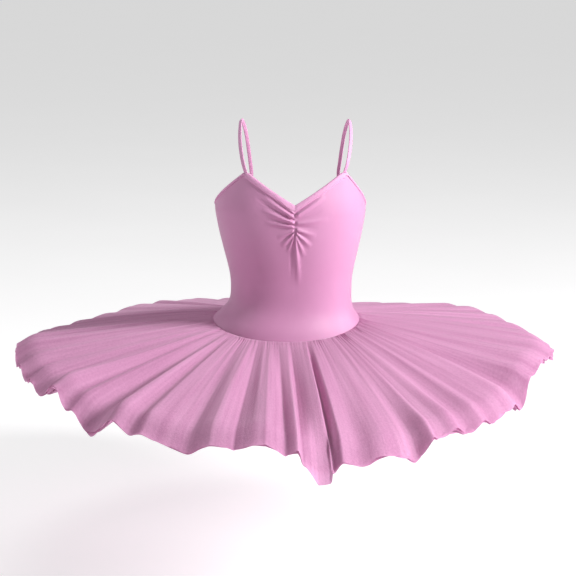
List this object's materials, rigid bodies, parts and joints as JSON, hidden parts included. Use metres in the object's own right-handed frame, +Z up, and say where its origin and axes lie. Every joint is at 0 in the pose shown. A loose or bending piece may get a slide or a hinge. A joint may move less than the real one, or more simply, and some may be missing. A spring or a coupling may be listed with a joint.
{
  "type": "ballet dress",
  "caption": "Child's strapped ballet dress with a pinched sweetheart bodice and a wide, flat skirt of gathered net layers.",
  "frame": {"origin": "midway between the two straps, level with the underside of their tops, where the wearer's shoulders carry the dress", "axes": "+Z up, -Y out of the front, +X to the right of the front as seen by someone facing it"},
  "size_m": [0.7676, 0.7736, 0.408],
  "materials": {
    "bodice_jersey": "soft satin stretch jersey, orchid pink",
    "binding_jersey": "folded jersey binding, orchid pink",
    "strap_elastic": "narrow folded jersey strap, orchid pink",
    "top_net": "fine soft net, orchid pink, partly see-through",
    "under_net": "stiffer net under the top layer, orchid pink, partly see-through"
  },
  "bodies": {
    "root": {"bodice_front": "bodice_jersey", "bodice_back": "bodice_jersey", "hip_band": "bodice_jersey", "neck_binding": "binding_jersey", "armhole_binding_left": "binding_jersey", "armhole_binding_right": "binding_jersey", "back_binding": "binding_jersey", "strap_left": "strap_elastic", "strap_right": "strap_elastic", "net_layer_1": "top_net", "net_layer_2": "under_net", "net_layer_3": "under_net", "net_layer_4": "under_net"}
  },
  "joints": []
}
